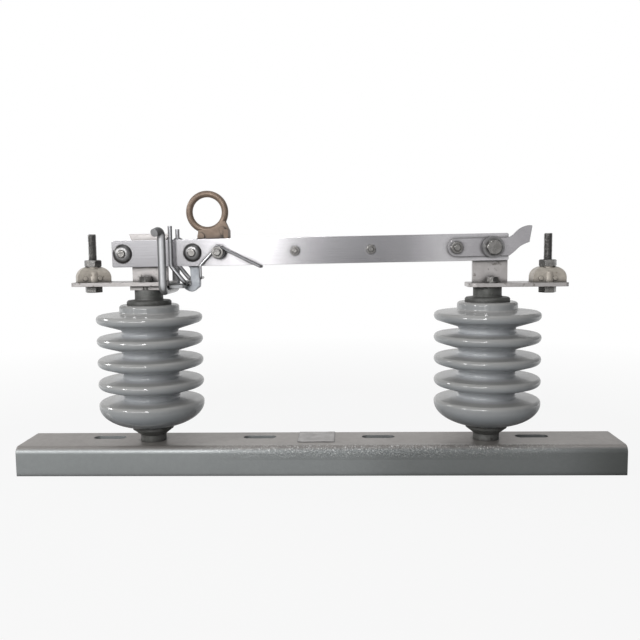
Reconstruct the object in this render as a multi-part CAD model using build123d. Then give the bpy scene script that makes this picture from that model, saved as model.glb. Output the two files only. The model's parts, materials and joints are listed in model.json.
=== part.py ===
from build123d import *
import os
from math import acos, atan2, cos, degrees, hypot, radians, sin, sqrt

# Single-pole, hook-stick operated disconnect switch on a steel channel base.
# Millimetres. X runs along the base with the hinge end at +X, Y points to the back, Z is up.
# The origin is the middle of the base's underside, on the edges that the channel stands on.

# Base channel
base_length = 720.0
base_width = 76.0
base_height = 35.0
base_wall = 5.0
base_bend = 8.0
slot_length = 40.0
slot_width = 14.0
slot_inner_x = 73.0
slot_outer_x = 260.0
slot_y = 8.5

# Insulators
insulator_spacing = 406.0
insulator_height = 184.5
foot_height = 18.0
foot_neck_radius = 15.5
foot_flange_radius = 24.5
foot_flange_height = 3.5
shed_radius = 63.3
core_radius = 33.5
shed_count = 5
shed_pitch = 26.0
lowest_shed_height = 46.0
shed_rim = 5.4
shed_rise = 6.6
shed_drop = 13.6
valley_radius = 2.4
bowl_depth = 27.5
bowl_flat_radius = 12.0
shoulder_radius = 35.6
shoulder_round = 3.5
cap_height = 18.0
cap_flange_radius = 26.5
cap_flange_height = 5.2
cap_flange_chamfer = 1.6
cap_neck_radius = 16.8
foot_bolt_radius = 6.0
foot_bolt_depth = 15.0

# Terminal pads
pad_thickness = 4.5
pad_width = 43.0
jaw_pad_inner = 30.3
jaw_pad_outer = 87.7
hinge_pad_inner = 25.2
hinge_pad_outer = 90.6
pad_corner = 4.0
hinge_pad_corner = 9.5
pad_bolt_radius = 4.0
pad_bolt_y = 12.0
hinge_bolt_shift = 3.0
pad_bolt_depth = 11.0
pad_washer_radius = 7.4
pad_washer_thickness = 1.6

# Upright contact tongues on the pads
tongue_thickness = 8.0
jaw_tongue_width = 42.0
jaw_tongue_shift = 3.0
jaw_tongue_height = 57.0
hinge_tongue_width = 40.5
hinge_tongue_shift = 2.3
hinge_tongue_above_pivot = 12.9
hinge_tongue_corner = 8.0
lead_in_height = 7.5
lead_in_spread = 3.2
lead_in_tip = 4.0

# Blade
pivot_shift = 2.5
pivot_height = 42.0
closed_tilt = 0.46
open_angle = 80.0
bar_height = 31.75
bar_thickness = 5.0
bar_overhang = 40.5
bar_tail = 20.0
bar_corner = 2.0
contact_play = 0.25
contact_bolt_inset = 12.7
contact_bolt_radius = 4.0
spacer_pitch = 89.5
spacer_bolt_radius = 3.0
spacer_radius = 6.3
pivot_radius = 5.0
running_fit = 0.08
side_play = 0.1

# Cup washers on the contact bolt and the latch pivot
contact_cup_radius = 11.5
latch_cup_radius = 11.0
cup_height = 5.5
cup_crown_radius = 5.0

# Stop strap with its horn
strap_width = 21.0
strap_thickness = 4.0
strap_bolt_at = 41.0
strap_bolt_radius = 4.0
strap_straight = 16.0
strap_throat = 20.2
horn_top = 24.0
horn_lip = 5.0
horn_tip_round = 1.2
horn_crest = ((0.26, 0.22), (0.52, 0.74), (0.72, 0.95))
horn_throat = ((0.49, 0.35), (0.74, 0.69))

# Latch
latch_pivot_inset = 55.9
latch_pivot_radius = 4.0
latch_eye_radius = 9.0
hook_back = 7.2
hook_throat = 4.4
hook_neck = 20.5
hook_neck_top = 15.5
hook_neck_reach = 9.9
hook_nose = 14.4
hook_bottom = 46.3
hook_heel = 12.5
hook_play = 0.6
ring_x = 17.8
ring_z = 47.7
ring_radius = 21.3
ring_wire_radius = 3.95
ring_web_thickness = 8.2
ring_foot_length = 5.6
ring_foot_end = 43.6
ring_foot_height = 10.5
ring_boss_place = (10.1, 19.0)
ring_boss_radius = 4.2
ring_bean_place = (36.4, 24.8)
ring_bean_length = 10.3
ring_bean_width = 6.3
ring_bean_lean = 17.0
ring_boss_rise = 1.5
rest_gap = 0.4

# Latch spring
spring_bolt_inset = 32.6
spring_bolt_radius = 4.0
spring_wire_radius = 1.7
spring_turns = 2
spring_gap = 0.3
spring_coil_radius = spring_bolt_radius + 2 * spring_gap + spring_wire_radius
spring_depth = (spring_turns + 0.22) * (2 * spring_wire_radius + 0.15)
spring_leg_drop = 30.2
spring_leg_reach = 48.0

# Attachment hook under the jaw pad
hook_plate_thickness = 5.0
hook_plate_width = 31.0
hook_plate_back = 18.3
fork_width = 46.0
fork_thickness = 3.5
fork_front = 48.0
fork_slot_width = 16.0
fork_slot_depth = 11.0
horn_rod_radius = 4.75
horn_rod_x = 25.7
horn_rod_y = 36.0
horn_rod_drop = 0.5
horn_rod_rise = 71.0
horn_rod_far_drop = 11.0
horn_curl_out = 12.5
horn_curl_side = 5.0
horn_curl_down = 4.0
horn_curl_bend = 6.0
horn_base_bend = 9.0
weld_gap = 0.2

# Keeper bail
keeper_wire_radius = 2.5
keeper_leg_x = 32.4
keeper_leg_y = 20.0
keeper_cross_x = 48.2
keeper_cross_rise = 8.5
keeper_near_rise = 75.2
keeper_far_rise = 72.0
keeper_bend_rise = 28.5
keeper_bend = 6.0

# Terminal clamps
jaw_stud_offset = 66.8
hinge_stud_offset = 70.6
stud_radius = 5.0
stud_height = 57.3
clamp_length = 39.0
clamp_depth = 22.0
clamp_height = 18.4
clamp_wall_height = 6.5
clamp_flat_share = 0.36
clamp_shoulder_share = 0.72
clamp_shoulder_rise = 0.78
clamp_edge_round = 8.0
clamp_seat_radius = 8.6
jaw_clamp_turn = 25.0
hole_play = 0.3

# Hexagons: distance across flats and height
m6_flats, m6_height = 10.0, 4.5
m8_flats, m8_height = 13.0, 5.5
pivot_flats, pivot_nut_height = 16.0, 8.0
stud_flats, stud_nut_height = 18.0, 8.0
m12_flats, m12_height = 18.0, 7.5
thread_end = 2.5
washer_thickness = 2.0
pivot_washer_radius = 12.5
pivot_stack_radius = 10.5
pivot_stack_height = 8.0

# Places worked out from the sizes above
jaw_x = -insulator_spacing / 2
hinge_x = insulator_spacing / 2
cap_top = base_height + insulator_height
jaw_pad_base = cap_top + hook_plate_thickness
hinge_pad_base = cap_top
jaw_pad_top = jaw_pad_base + pad_thickness
hinge_pad_top = hinge_pad_base + pad_thickness
pivot_x = hinge_x + pivot_shift
pivot_z = hinge_pad_top + pivot_height
bar_inner = tongue_thickness / 2 + contact_play
bar_outer = bar_inner + bar_thickness
bar_reach = pivot_x - jaw_x + bar_overhang
bar_length = bar_reach + bar_tail
contact_bolt_at = bar_reach - contact_bolt_inset
latch_pivot_at = pivot_x - jaw_x - latch_pivot_inset
spring_bolt_at = latch_pivot_at - spring_bolt_inset
spacer_bolts_at = (spring_bolt_at - spacer_pitch, spring_bolt_at - 2 * spacer_pitch)
hook_thickness = tongue_thickness
lug_thickness = hook_thickness / 2
keeper_cross_z = cap_top + keeper_cross_rise


def add_part(name, shape):
    export_step(shape, f"parts/{name}.step")


def upright_plate(outline, y_start, thickness):
    """A flat plate cut to an outline in the X-Z plane, from y_start towards the back."""
    return Pos(0, y_start + thickness, 0) * extrude(Plane.XZ * outline, thickness)


def along_y(shape):
    """Turns a shape built up +Z so that it points to the back."""
    return Rot(-90, 0, 0) * shape


def turned(points):
    """A solid of revolution about Z from its half outline of radius and height points."""
    outline = make_face(Plane.XZ * Polyline(*points, close=True))
    return revolve(outline, Axis.Z)


def hexagon(flats, height, both=False):
    """A hexagonal head, or a nut, with the corners turned off at its upper end or at both ends."""
    corner = flats / 2 / cos(radians(30))
    crown = upright(corner, height)
    ends = crown.edges().filter_by(GeomType.CIRCLE) if both else crown.faces().sort_by(Axis.Z)[-1].edges()
    crown = chamfer(ends, height * 0.12, corner - flats / 2)
    prism = extrude(RegularPolygon(flats / 2, 6, major_radius=False), height)
    return prism & crown


def rod(points, radius, bends):
    """A round rod bent along a path of straight runs and tangent arcs."""
    path = FilletPolyline(*points, radius=bends)
    section = Plane(origin=path @ 0, z_dir=path % 0) * Circle(radius)
    return sweep(section, path=path)


def upright(radius, height):
    """A cylinder that stands on the origin."""
    return Pos(0, 0, height / 2) * Cylinder(radius, height)


def on_blade(shape):
    """Moves a shape from the blade's own frame, with the pivot at its origin, to the closed blade."""
    return Pos(pivot_x, 0, pivot_z) * Rot(0, -closed_tilt, 0) * shape


def to_blade(x, z):
    """A point of the switch in the closed blade's own frame."""
    dx, dz = x - pivot_x, z - pivot_z
    turn = radians(closed_tilt)
    return dx * cos(turn) + dz * sin(turn), -dx * sin(turn) + dz * cos(turn)


# Base: a formed channel with its web up
def base_channel():
    half = base_width / 2
    hollow = half - base_wall
    ceiling = base_height - base_wall
    section = make_face(Polyline(
        (-half, 0), (-half, base_height), (half, base_height), (half, 0), (hollow, 0), (hollow, ceiling),
        (-hollow, ceiling), (-hollow, 0), close=True))
    outside = section.vertices().filter_by_position(Axis.Y, base_height - 0.1, base_height + 0.1)
    section = fillet(outside, base_bend)
    inside = section.vertices().filter_by_position(Axis.Y, ceiling - 0.1, ceiling + 0.1)
    section = fillet(inside.filter_by_position(Axis.X, -hollow - 0.1, hollow + 0.1), base_bend - base_wall)
    channel = Pos(-base_length / 2, 0, 0) * extrude(Plane.YZ * section, base_length)
    slot = extrude(SlotOverall(slot_length, slot_width), base_wall * 3)
    for x in (-slot_outer_x, -slot_inner_x, slot_inner_x, slot_outer_x):
        channel -= Pos(x, slot_y, base_height - base_wall * 2) * slot
    bolt_hole = Cylinder(foot_bolt_radius + hole_play, base_wall * 2)
    for x in (jaw_x, hinge_x):
        channel -= Pos(x, 0, base_height - base_wall / 2) * bolt_hole
    return channel


# Insulators
def porcelain():
    """The glazed body: a bowl at the bottom, then evenly spaced sheds and a short shoulder."""
    bottom = foot_height
    top = insulator_height - cap_height
    rim = shed_rim / 2
    bowl_z = bottom + bowl_depth
    points = [(shed_radius, bowl_z), (shed_radius, lowest_shed_height + rim),
              (core_radius, lowest_shed_height + shed_rise)]
    for number in range(1, shed_count):
        z = lowest_shed_height + number * shed_pitch
        root = core_radius if number < shed_count - 1 else shoulder_radius
        points += [(core_radius, z - shed_drop), (shed_radius, z - rim), (shed_radius, z + rim),
                   (root, z + shed_rise)]
    points += [(shoulder_radius, top), (0, top), (0, bottom), (bowl_flat_radius, bottom)]
    edge = Polyline(*points)
    bowl = EllipticalCenterArc((bowl_flat_radius, bowl_z), shed_radius - bowl_flat_radius, bowl_depth,
                               start_angle=-90, arc_size=90)
    outline = make_face([edge, bowl])
    rims = [v for v in outline.vertices() if abs(v.X - shed_radius) < 0.01 and abs(v.Y - bowl_z) > 0.01]
    outline = fillet(rims, rim - 0.2)
    roots = [v for v in outline.vertices() if abs(v.X - core_radius) < 0.01]
    outline = fillet(roots, valley_radius)
    shoulder = [v for v in outline.vertices() if abs(v.X - shoulder_radius) < 0.01 and abs(v.Y - top) < 0.01]
    outline = fillet(shoulder, shoulder_round)
    return revolve(Plane.XZ * outline, Axis.Z)


def insulator_foot():
    flange_base = foot_height - foot_flange_height
    foot = turned([(0, 0), (foot_neck_radius, 0), (foot_neck_radius, foot_height * 0.42),
                   (foot_flange_radius - 1.5, flange_base - 1.0), (foot_flange_radius, flange_base),
                   (foot_flange_radius, foot_height), (0, foot_height)])
    return foot - upright(foot_bolt_radius + running_fit, foot_bolt_depth)


def insulator_cap(bolt_shift):
    base = insulator_height - cap_height
    flange = Pos(0, 0, base) * upright(cap_flange_radius, cap_flange_height)
    flange = chamfer(flange.faces().sort_by(Axis.Z)[-1].edges(), cap_flange_chamfer)
    neck = upright(cap_neck_radius, cap_height - cap_flange_height + 1)
    cap = flange + Pos(0, 0, base + cap_flange_height - 1) * neck
    seam = [e for e in cap.edges().filter_by(GeomType.CIRCLE)
            if abs(e.radius - cap_neck_radius) < 0.01 and e.center().Z < insulator_height - 1]
    cap = fillet(seam, 2.5)
    for y in (-pad_bolt_y, pad_bolt_y):
        cap -= Pos(bolt_shift, y, insulator_height - pad_bolt_depth) * upright(
            pad_bolt_radius + running_fit, pad_bolt_depth)
    return cap


def foot_bolt():
    """The bolt that comes up through the web into the insulator's foot, with its washer."""
    washer = Pos(0, 0, -base_wall - washer_thickness) * upright(foot_bolt_radius * 2, washer_thickness)
    head = Pos(0, 0, -base_wall - washer_thickness) * Rot(180, 0, 0) * hexagon(m12_flats, m12_height)
    shank = Pos(0, 0, -base_wall - washer_thickness) * upright(
        foot_bolt_radius, base_wall + washer_thickness + foot_bolt_depth - 1)
    return washer + head + shank


# Terminal pads, tongues and their bolts. "side" is -1 at the jaw end and +1 at the hinge end
def pad(side, x, base, inner, outer, inner_corner, bolt_shift, stud_offset):
    """A flat terminal pad that reaches out from the insulator's axis at x."""
    outline = Pos(x + side * (outer - inner) / 2, 0) * Rectangle(outer + inner, pad_width)
    ends = outline.vertices().group_by(Axis.X)
    near, far = (ends[0], ends[-1]) if side > 0 else (ends[-1], ends[0])
    outline = fillet(near, inner_corner)
    outline = fillet(outline.vertices().sort_by_distance(far[0])[0:1]
                     + outline.vertices().sort_by_distance(far[1])[0:1], pad_corner)
    plate = Pos(0, 0, base) * extrude(outline, pad_thickness)
    for y in (-pad_bolt_y, pad_bolt_y):
        plate -= Pos(x + bolt_shift, y, base) * upright(pad_bolt_radius + hole_play, pad_thickness)
    return plate - Pos(x + side * stud_offset, 0, base) * upright(stud_radius + hole_play, pad_thickness)


def jaw_tongue():
    """The jaw's tongue, coined thin and wide along its top edge so that the blade rides on to it."""
    straight = jaw_tongue_height - lead_in_height
    body = Pos(0, 0, straight / 2) * Box(jaw_tongue_width, tongue_thickness, straight)
    low = Plane.XY.offset(straight) * Rectangle(jaw_tongue_width, tongue_thickness)
    high = Plane.XY.offset(jaw_tongue_height) * Rectangle(jaw_tongue_width + 2 * lead_in_spread, lead_in_tip)
    return Pos(jaw_x + jaw_tongue_shift, 0, jaw_pad_top) * (body + loft([low, high]))


def hinge_tongue():
    """The hinge's tongue, rounded over the top and bored for the pivot."""
    height = pivot_height + hinge_tongue_above_pivot
    body = Pos(hinge_x + hinge_tongue_shift, 0, hinge_pad_top + height / 2) * Box(
        hinge_tongue_width, tongue_thickness, height)
    body = fillet(body.edges().filter_by(Axis.Y).group_by(Axis.Z)[-1], hinge_tongue_corner)
    return body - Pos(pivot_x, -tongue_thickness, pivot_z) * along_y(
        upright(pivot_radius + running_fit, tongue_thickness * 2))


def pad_bolts(x, pad_top):
    """The two bolts that hold a pad on its insulator, one each side of the tongue."""
    bolts = []
    depth = pad_top - cap_top + pad_bolt_depth - 1
    for y in (-pad_bolt_y, pad_bolt_y):
        shape = upright(pad_washer_radius, pad_washer_thickness)
        shape += Pos(0, 0, pad_washer_thickness) * Rot(0, 0, 30) * hexagon(m8_flats, m8_height)
        shape += Pos(0, 0, -depth) * upright(pad_bolt_radius, depth + 1)
        bolts.append(Pos(x, y, pad_top) * shape)
    return Compound(children=bolts)


# Terminal clamps
def clamp_body():
    """A cast saddle with a half-round back and a hole for the stud."""
    half = clamp_length / 2
    flat = half * clamp_flat_share
    shoulder = (half * clamp_shoulder_share,
                clamp_wall_height + (clamp_height - clamp_wall_height) * clamp_shoulder_rise)
    sides = Polyline((-half, clamp_wall_height), (-half, 0), (half, 0), (half, clamp_wall_height))
    right = ThreePointArc((half, clamp_wall_height), shoulder, (flat, clamp_height))
    top = Line((flat, clamp_height), (-flat, clamp_height))
    left = ThreePointArc((-flat, clamp_height), (-shoulder[0], shoulder[1]), (-half, clamp_wall_height))
    saddle = upright_plate(make_face([sides, right, top, left]), -clamp_depth / 2, clamp_depth)
    across = Pos(0, clamp_height / 2) * Rectangle(clamp_depth, clamp_height)
    across = fillet(across.vertices().group_by(Axis.Y)[-1], clamp_edge_round)
    saddle &= Pos(-half, 0, 0) * extrude(Plane.YZ * across, clamp_length)
    saddle += upright(clamp_seat_radius, clamp_height)
    return saddle - upright(stud_radius + hole_play, clamp_height)


def terminal_stud(pad_top):
    """A bolt set head down under the pad, with its thread standing up through the clamp."""
    head = Pos(0, 0, pad_top - pad_thickness) * Rot(180, 0, 0) * hexagon(stud_flats, stud_nut_height)
    shank = Pos(0, 0, pad_top - pad_thickness) * upright(stud_radius, pad_thickness + stud_height)
    return head + chamfer(shank.faces().sort_by(Axis.Z)[-1].edges(), 1)


def terminal_nut(pad_top):
    nut = hexagon(stud_flats, stud_nut_height, both=True)
    nut -= upright(stud_radius + running_fit, stud_nut_height)
    return Pos(0, 0, pad_top + clamp_height) * nut


# Attachment hook and keeper at the jaw
def hook_plate():
    """A plate clamped under the jaw pad, with the attachment hook welded along its edge."""
    left = jaw_x - hook_plate_back
    right = jaw_x + horn_rod_x - horn_rod_radius - weld_gap
    plate = Pos((left + right) / 2, 0, cap_top) * extrude(
        Rectangle(right - left, hook_plate_width), hook_plate_thickness)
    for y in (-pad_bolt_y, pad_bolt_y):
        plate -= Pos(jaw_x, y, cap_top) * upright(pad_bolt_radius + hole_play, hook_plate_thickness)
    return plate


def keeper_fork():
    """A small plate on the attachment hook. Its two arms carry the keeper on both sides of the latch."""
    left = jaw_x + horn_rod_x + horn_rod_radius + weld_gap
    right = jaw_x + fork_front
    top = keeper_cross_z - keeper_wire_radius - weld_gap
    outline = Pos((left + right) / 2, 0) * Rectangle(right - left, fork_width)
    outline = fillet(outline.vertices().group_by(Axis.X)[-1], 3)
    outline -= Pos(right - fork_slot_depth / 2 + fork_slot_width / 4, 0) * SlotOverall(
        fork_slot_depth + fork_slot_width / 2, fork_slot_width)
    return Pos(0, 0, top - fork_thickness) * extrude(outline, fork_thickness)


def attachment_hook():
    """The thick rod that runs across under the pad and turns up into a horn each side of the blade."""
    x = jaw_x + horn_rod_x
    low, near_top = cap_top - horn_rod_drop, cap_top + horn_rod_rise
    far_top = near_top - horn_rod_far_drop
    points = [(x - horn_curl_side, -horn_rod_y - horn_curl_out, near_top - horn_curl_down),
              (x, -horn_rod_y, near_top), (x, -horn_rod_y, low), (x, horn_rod_y, low),
              (x, horn_rod_y, far_top),
              (x + horn_curl_side, horn_rod_y + horn_curl_out, far_top - horn_curl_down)]
    return rod(points, horn_rod_radius, [horn_curl_bend, horn_base_bend, horn_base_bend, horn_curl_bend])


def keeper_bail():
    """The wire that the latch hooks under, with two legs that guide the blade in."""
    leg_x, cross_x, y = jaw_x + keeper_leg_x, jaw_x + keeper_cross_x, keeper_leg_y
    bend_z = cap_top + keeper_bend_rise
    points = [(leg_x, -y, cap_top + keeper_near_rise), (leg_x, -y, bend_z), (cross_x, -y, keeper_cross_z),
              (cross_x, y, keeper_cross_z), (leg_x, y, bend_z), (leg_x, y, cap_top + keeper_far_rise)]
    return rod(points, keeper_wire_radius, keeper_bend)


# Blade, in its own frame: the pivot at the origin and the blade along -X
def blade_bar(y_start):
    centre = bar_tail - bar_length / 2
    outline = Pos(centre, 0) * RectangleRounded(bar_length, bar_height, bar_corner)
    outline -= Circle(pivot_radius + running_fit)
    holes = [(contact_bolt_at, contact_bolt_radius), (latch_pivot_at, latch_pivot_radius),
             (spring_bolt_at, spring_bolt_radius), (strap_bolt_at, strap_bolt_radius)]
    holes += [(at, spacer_bolt_radius) for at in spacer_bolts_at]
    for at, radius in holes:
        outline -= Pos(-at, 0) * Circle(radius + running_fit)
    return on_blade(upright_plate(outline, y_start, bar_thickness))


def through_bolt(at, radius, front, back, flats, head_height):
    """A bolt across the blade, its head against "back" and its nut against "front"."""
    end = front - head_height - thread_end
    shank = upright(radius, back - end)
    shank = Pos(0, end, 0) * along_y(chamfer(shank.faces().sort_by(Axis.Z)[0].edges(), 0.6))
    nut = Pos(0, front, 0) * along_y(Rot(180, 0, 0) * hexagon(flats, head_height, both=True))
    head = Pos(0, back, 0) * along_y(hexagon(flats, head_height))
    return on_blade(Pos(-at, 0, 0) * (shank + nut + head))


def spacer(at, bore):
    """A tube between the two bars."""
    tube = upright(spacer_radius, 2 * bar_inner) - upright(bore + running_fit, 2 * bar_inner)
    return on_blade(Pos(-at, -bar_inner, 0) * along_y(tube))


def cup_washer(radius):
    """A dished spring washer with a rounded crown, standing on the origin."""
    side = ThreePointArc((radius, 0), (radius * 0.86, cup_height * 0.62), (cup_crown_radius, cup_height))
    rest = Polyline((cup_crown_radius, cup_height), (0, cup_height), (0, 0), (radius, 0))
    return revolve(Plane.XZ * make_face([side, rest]), Axis.Z)


def cup_pair(at, radius, bore):
    """A cup washer on each face of the blade."""
    cup = cup_washer(radius) - upright(bore + running_fit, cup_height)
    back = Pos(-at, bar_outer, 0) * along_y(cup)
    front = Pos(-at, -bar_outer, 0) * Rot(180, 0, 0) * along_y(cup)
    return Compound(children=[on_blade(front), on_blade(back)])


def cup_rivet(at, radius):
    """The pin through a pair of cups, with its ends upset to rounded buttons."""
    end = bar_outer + cup_height
    pin = Pos(0, -end, 0) * along_y(upright(radius, 2 * end))
    button = fillet(upright(radius + 0.8, 2.2).faces().sort_by(Axis.Z)[-1].edges(), 1.2)
    back = Pos(0, end, 0) * along_y(button)
    front = Pos(0, -end, 0) * Rot(180, 0, 0) * along_y(button)
    return on_blade(Pos(-at, 0, 0) * (pin + back + front))


def stop_strap():
    """A strap on the front bar, round at its bolt. Its horn lands flat on the pad when the blade is open."""
    half = strap_width / 2
    reach = pivot_height - hole_play
    lean = radians(90 - open_angle)

    def face_x(z):
        return (reach + z * sin(lean)) / cos(lean)

    def between(start, end, shares):
        return [(start[0] + x * (end[0] - start[0]), start[1] + z * (end[1] - start[1])) for x, z in shares]

    lip, tip = (face_x(horn_lip), horn_lip), (face_x(horn_top), horn_top)
    shoulder, heel = (strap_straight, half), (strap_throat, -half)
    top_edge = Line((-strap_bolt_at, half), shoulder)
    crest = Spline(shoulder, *between(shoulder, tip, horn_crest), tip, tangents=[(1, 0), (1, -0.1)])
    face = Line(tip, lip)
    throat = Spline(lip, *between(lip, heel, horn_throat), heel, tangents=[(-1, -0.4), (-1, -0.9)])
    low_edge = Line(heel, (-strap_bolt_at, -half))
    round_end = ThreePointArc((-strap_bolt_at, -half), (-strap_bolt_at - half, 0), (-strap_bolt_at, half))
    outline = make_face([top_edge, crest, face, throat, low_edge, round_end])
    outline = fillet(outline.vertices().sort_by_distance(tip)[0], horn_tip_round)
    outline -= Circle(pivot_radius + running_fit)
    outline -= Pos(-strap_bolt_at, 0) * Circle(strap_bolt_radius + running_fit)
    return on_blade(upright_plate(outline, -bar_outer - strap_thickness, strap_thickness))


# Pivot, which stays with the hinge
def pivot_seat(front):
    """How far in front of or behind the middle the pivot's washers start."""
    return bar_outer + side_play + (strap_thickness if front else 0)


def pivot_bolt():
    front = pivot_seat(True) + pivot_stack_height + washer_thickness
    back = pivot_seat(False) + pivot_stack_height + washer_thickness + pivot_nut_height + thread_end
    shank = Pos(0, -front, 0) * along_y(upright(pivot_radius, front + back))
    head = Pos(0, -front, 0) * along_y(Rot(180, 0, 0) * hexagon(pivot_flats, pivot_nut_height))
    return Pos(pivot_x, 0, pivot_z) * (shank + head)


def pivot_nut():
    nut = hexagon(pivot_flats, pivot_nut_height, both=True)
    nut -= upright(pivot_radius + running_fit, pivot_nut_height)
    back = pivot_seat(False) + pivot_stack_height + washer_thickness
    return Pos(pivot_x, back, pivot_z) * along_y(nut)


def pivot_washers(front):
    """A stack of dished washers against the blade under a flat washer, at the front or at the back."""
    bore = pivot_radius + running_fit
    step = pivot_stack_height / 4
    points = [(bore, 0)]
    for number in range(4):
        z = number * step
        points += [(pivot_stack_radius, z), (pivot_stack_radius, z + step * 0.6),
                   (pivot_stack_radius - 0.8, z + step * 0.8)]
    points += [(pivot_stack_radius - 0.8, pivot_stack_height), (pivot_washer_radius, pivot_stack_height),
               (pivot_washer_radius, pivot_stack_height + washer_thickness),
               (bore, pivot_stack_height + washer_thickness)]
    stack = along_y(turned(points))
    if front:
        stack = Rot(180, 0, 0) * stack
    return Pos(pivot_x, -pivot_seat(True) if front else pivot_seat(False), pivot_z) * stack


# Latch, about its own pivot: u runs along the blade to the hinge and w runs up
def hook_outline():
    """The J hook. The top of its nose is an arc about the latch pivot, so that it swings clear."""
    blade_x, blade_z = to_blade(jaw_x + keeper_cross_x, keeper_cross_z)
    keeper_u, keeper_w = blade_x + latch_pivot_at, blade_z
    arc = hypot(keeper_u, keeper_w) + keeper_wire_radius + hook_play

    def on_arc(u):
        return (u, -sqrt(arc * arc - u * u))

    throat, nose = on_arc(-hook_throat), on_arc(-hook_nose)
    middle = on_arc(-(hook_throat + hook_nose) / 2)
    root = (-hook_neck_reach, -hook_neck_top)
    neck = TangentArc((-hook_throat, -hook_neck), root, tangent=(0, 1))
    inner = Line((-hook_throat, -hook_neck), throat)
    seat = ThreePointArc(throat, middle, nose)
    tip = ThreePointArc(nose, (-hook_nose - 0.9, nose[1] - 1.9), (-hook_nose + 0.2, nose[1] - 3.6))
    heel = -hook_bottom + hook_heel
    belly = Spline(tip @ 1, (-hook_nose * 0.55, -hook_bottom + 0.9), (-1.0, -hook_bottom),
                   (hook_back * 0.66, -hook_bottom + hook_heel * 0.32), (hook_back, heel),
                   tangents=[(0.6, -1), (0, 1)])
    spine = Polyline((hook_back, heel), (hook_back, 0), (-hook_neck_reach, 0), root)
    return make_face([neck, inner, seat, tip, belly, spine])


def latch_hook():
    """A cast J hook as thick as the gap between the bars. Its eye is half of that, beside the ring's lug."""
    step = -latch_eye_radius - 1
    outline = hook_outline()
    below = Pos(0, step - hook_bottom) * Rectangle(4 * hook_bottom, 2 * hook_bottom)
    above = Pos(0, step + hook_bottom) * Rectangle(4 * hook_bottom, 2 * hook_bottom)
    casting = upright_plate(outline & below, -hook_thickness / 2, hook_thickness)
    casting = fillet(casting.edges().filter_by(GeomType.LINE, reverse=True), 1.2)
    bore = Circle(latch_pivot_radius + running_fit)
    eye = upright_plate((outline & above) + Circle(latch_eye_radius) - bore, 0, lug_thickness)
    return on_blade(Pos(-latch_pivot_at, 0, 0) * (casting + eye))


def pull_ring():
    """The cast pull ring, its web and foot above the bars, and the lug down to the latch pivot."""
    seat = bar_height / 2 + rest_gap
    ring = Pos(ring_x, 0, ring_z) * Rot(90, 0, 0) * Torus(ring_radius, ring_wire_radius)
    inside = Pos(ring_x, ring_z) * Circle(ring_radius)
    boss_u, boss_w = ring_boss_place
    web_outline = make_face(Polyline(
        (boss_u - 2, seat), (ring_foot_end, seat), (ring_foot_end, seat + ring_foot_height),
        (ring_x + ring_radius, ring_z - ring_radius / 2), (ring_x, ring_z - ring_radius),
        (ring_x - ring_radius / 2, ring_z - ring_radius), (boss_u - ring_boss_radius, boss_w), close=True))
    web = upright_plate(web_outline - inside, -ring_web_thickness / 2, ring_web_thickness)
    above = Pos(boss_u, seat + ring_radius) * Rectangle(2 * ring_radius, 2 * ring_radius)
    boss = above & Pos(boss_u, boss_w) * Circle(ring_boss_radius)
    bean = SlotOverall(ring_bean_length, ring_bean_width)
    for raised in (boss, Pos(*ring_bean_place) * Rot(0, 0, 90 + ring_bean_lean) * bean):
        web += upright_plate(raised, -ring_web_thickness / 2 - ring_boss_rise, ring_web_thickness)
    foot = Pos(ring_foot_end - ring_foot_length / 2, 0, seat + ring_foot_height / 2) * Box(
        ring_foot_length, 2 * bar_outer, ring_foot_height)
    foot = fillet(foot.edges().filter_by(Axis.Y), 1.5)
    lug_outline = make_face(Polyline(
        (-latch_eye_radius * 0.6, latch_eye_radius * 0.8), (boss_u - 2, seat + 3),
        (ring_foot_end - ring_foot_length, seat + 3), (ring_foot_end - ring_foot_length, seat - 5),
        (latch_eye_radius * 0.5, -latch_eye_radius * 0.8), close=True)) + Circle(latch_eye_radius)
    lug_outline -= Circle(latch_pivot_radius + running_fit)
    lug = upright_plate(lug_outline, -lug_thickness, lug_thickness)
    return on_blade(Pos(-latch_pivot_at, 0, 0) * (ring + web + foot + lug))


def latch_spring():
    """A torsion spring: turns round its bolt, one leg behind the hook and one hooked under the front bar."""
    centre = -spring_bolt_at
    near_y = -bar_outer - spring_gap - spring_wire_radius
    back_u = -latch_pivot_at + hook_back + spring_gap + spring_wire_radius
    edge = -bar_height / 2 - spring_gap - spring_wire_radius
    knee = (back_u, near_y, edge + 2.5)
    reach = (centre + spring_leg_reach, near_y, edge)

    def leave_angle(point, side):
        """Where on the coil a leg to this point leaves it."""
        u, w = point[0] - centre, point[2]
        return degrees(atan2(w, u)) + side * degrees(acos(spring_coil_radius / hypot(u, w)))

    start = leave_angle(knee, -1) + 360
    sweep_angle = start - leave_angle(reach, 1) + 360 * spring_turns
    count = int(sweep_angle / 18)
    coil = []
    for number in range(count + 1):
        angle = radians(start - sweep_angle * number / count)
        coil.append((centre + spring_coil_radius * cos(angle), near_y - spring_depth * number / count,
                     spring_coil_radius * sin(angle)))
    inner = FilletPolyline((back_u, hook_thickness / 2, -spring_leg_drop), (back_u, near_y, -spring_leg_drop),
                           knee, coil[0], radius=3)
    outer = FilletPolyline(coil[-1], reach, (reach[0] + 1, -bar_outer + bar_thickness, edge), radius=3)
    turns = Spline(*coil, tangents=[inner % 1, outer % 0])
    path = Wire(inner.edges() + turns.edges() + outer.edges())
    return on_blade(sweep(Plane(origin=path @ 0, z_dir=path % 0) * Circle(spring_wire_radius), path=path))


os.makedirs("parts", exist_ok=True)

add_part("base_channel", base_channel())

for end, x in (("jaw", jaw_x), ("hinge", hinge_x)):
    stand = Pos(x, 0, base_height)
    add_part(f"{end}_porcelain", stand * porcelain())
    add_part(f"{end}_insulator_foot", stand * insulator_foot())
    add_part(f"{end}_insulator_cap", stand * insulator_cap(hinge_bolt_shift if end == "hinge" else 0))
    add_part(f"{end}_foot_bolt", stand * foot_bolt())

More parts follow.
